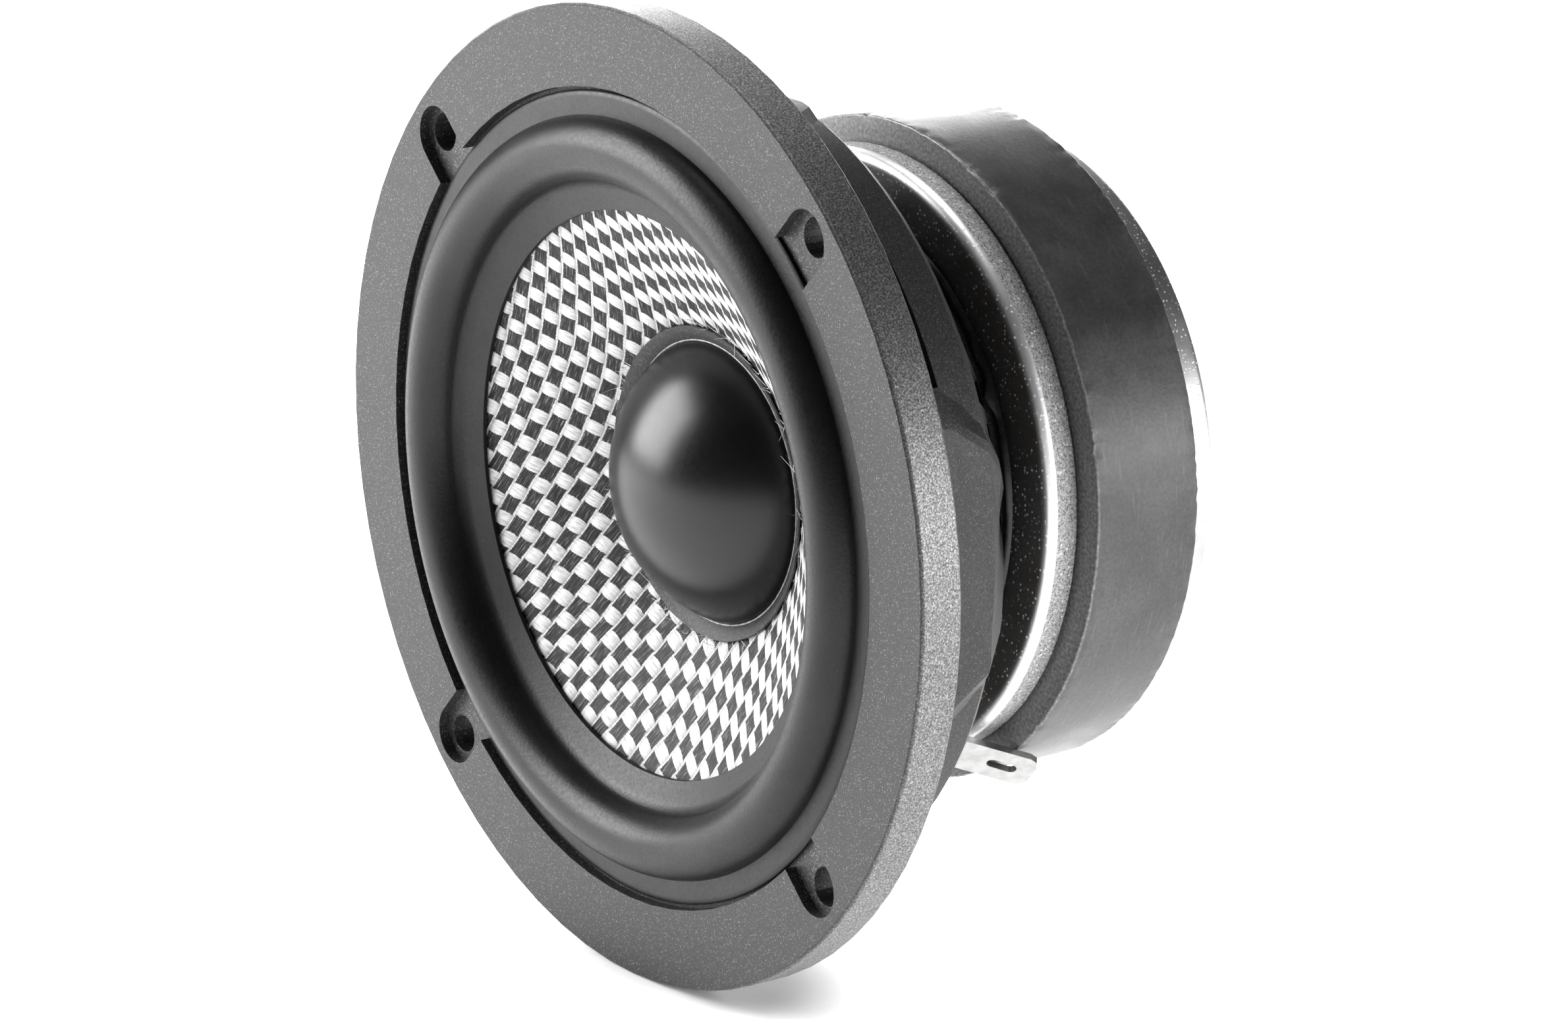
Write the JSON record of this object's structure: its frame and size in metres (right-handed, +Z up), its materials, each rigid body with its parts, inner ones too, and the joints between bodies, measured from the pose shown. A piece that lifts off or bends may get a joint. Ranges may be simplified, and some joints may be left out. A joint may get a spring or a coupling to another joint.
{
  "type": "loudspeaker driver",
  "caption": "Round moving-coil loudspeaker driver with a cast basket, woven cone, dome dust cap, rubber surround and a ferrite ring magnet motor.",
  "frame": {"origin": "on the driver's axis, in the plane of the flange's rear face, which lies on the mounting panel", "axes": "the driver's axis is Y: the cone faces -Y and the magnet is towards +Y; +Z is up, a basket leg stands at +X, -X, +Z and -Z, and the screw holes are between them"},
  "size_m": [0.105, 0.0556, 0.105],
  "materials": {
    "cast_paint": "fine metallic fleck, satin",
    "zinc": "bright zinc plate, grained",
    "ferrite": "matte ceramic",
    "steel": "zinc plate",
    "glue": "gloss",
    "rubber": "satin",
    "cloth": "resin-treated cloth",
    "weave": "black and white plain weave, satin",
    "collar_paper": "matte",
    "cap_plastic": "satin",
    "amber_film": "polyimide film",
    "copper": "enamelled copper wire",
    "phenolic": "laminate",
    "tinned": "bright tin plate"
  },
  "bodies": {
    "frame": {"basket": "cast_paint", "front_plate": "zinc", "magnet": "ferrite", "back_plate": "steel", "pole_piece": "steel", "seat_adhesive": "glue", "surround": "rubber", "spider": "cloth", "terminal_board_positive": "phenolic", "terminal_positive": "tinned", "terminal_rivet_positive": "steel", "tinsel_lead_positive": "tinned", "terminal_board_negative": "phenolic", "terminal_negative": "tinned", "terminal_rivet_negative": "steel", "tinsel_lead_negative": "tinned"},
    "diaphragm": {"cone": "weave", "cap_ring": "collar_paper", "dust_cap": "cap_plastic", "voice_coil_former": "amber_film", "voice_coil": "copper", "coil_lead_pad_positive": "copper", "coil_lead_pad_negative": "copper"}
  },
  "joints": [
    {"name": "cone_travel", "type": "slide", "parent": "frame", "child": "diaphragm", "axis": [0, 1, 0], "range_m": [-0.0035, 0.0035], "stiffness_N_per_m": 1500, "deforming": ["surround", "spider", "tinsel_lead_positive", "tinsel_lead_negative"]}
  ]
}
